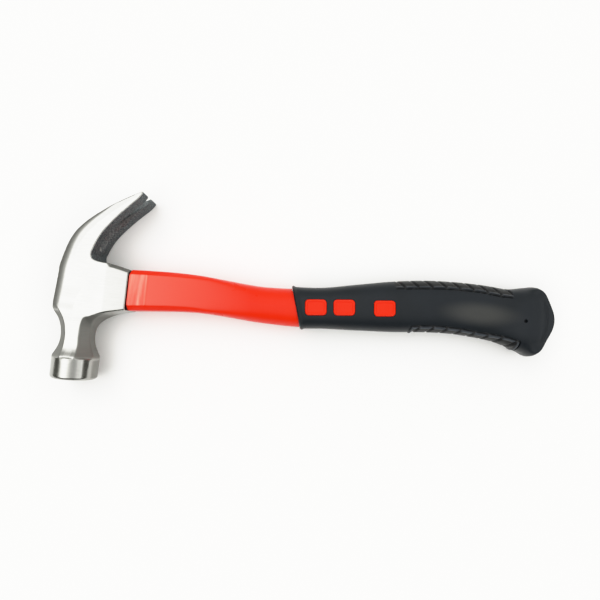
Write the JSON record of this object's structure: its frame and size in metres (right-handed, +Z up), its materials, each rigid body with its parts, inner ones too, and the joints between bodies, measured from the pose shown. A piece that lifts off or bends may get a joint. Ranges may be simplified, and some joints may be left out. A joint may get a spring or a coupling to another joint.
{
  "type": "claw hammer",
  "caption": "Claw hammer with a forged steel head, curved slotted claw, fibreglass core, moulded jacket and soft ribbed grip, lying on its side.",
  "frame": {"origin": "middle of the base of the whole tool, lying on its side", "axes": "+X from the head to the butt, +Y from the striking face to the claw, +Z up through the thickness"},
  "size_m": [0.325, 0.124, 0.0287],
  "materials": {
    "forged_steel": "ground and polished, rough forged inside the claw",
    "epoxy_resin": "cast resin",
    "black_moulding": "moulded",
    "black_seal": "matt",
    "fibreglass": "pultruded glass and resin",
    "red_polypropylene": "glossy moulded",
    "black_soft_rubber": "matt moulded"
  },
  "bodies": {
    "root": {"hammer_head": "forged_steel", "epoxy_bond": "epoxy_resin", "eye_cap": "black_moulding", "eye_seal": "black_seal", "fibreglass_core": "fibreglass", "handle_jacket": "red_polypropylene", "soft_grip": "black_soft_rubber"}
  },
  "joints": []
}
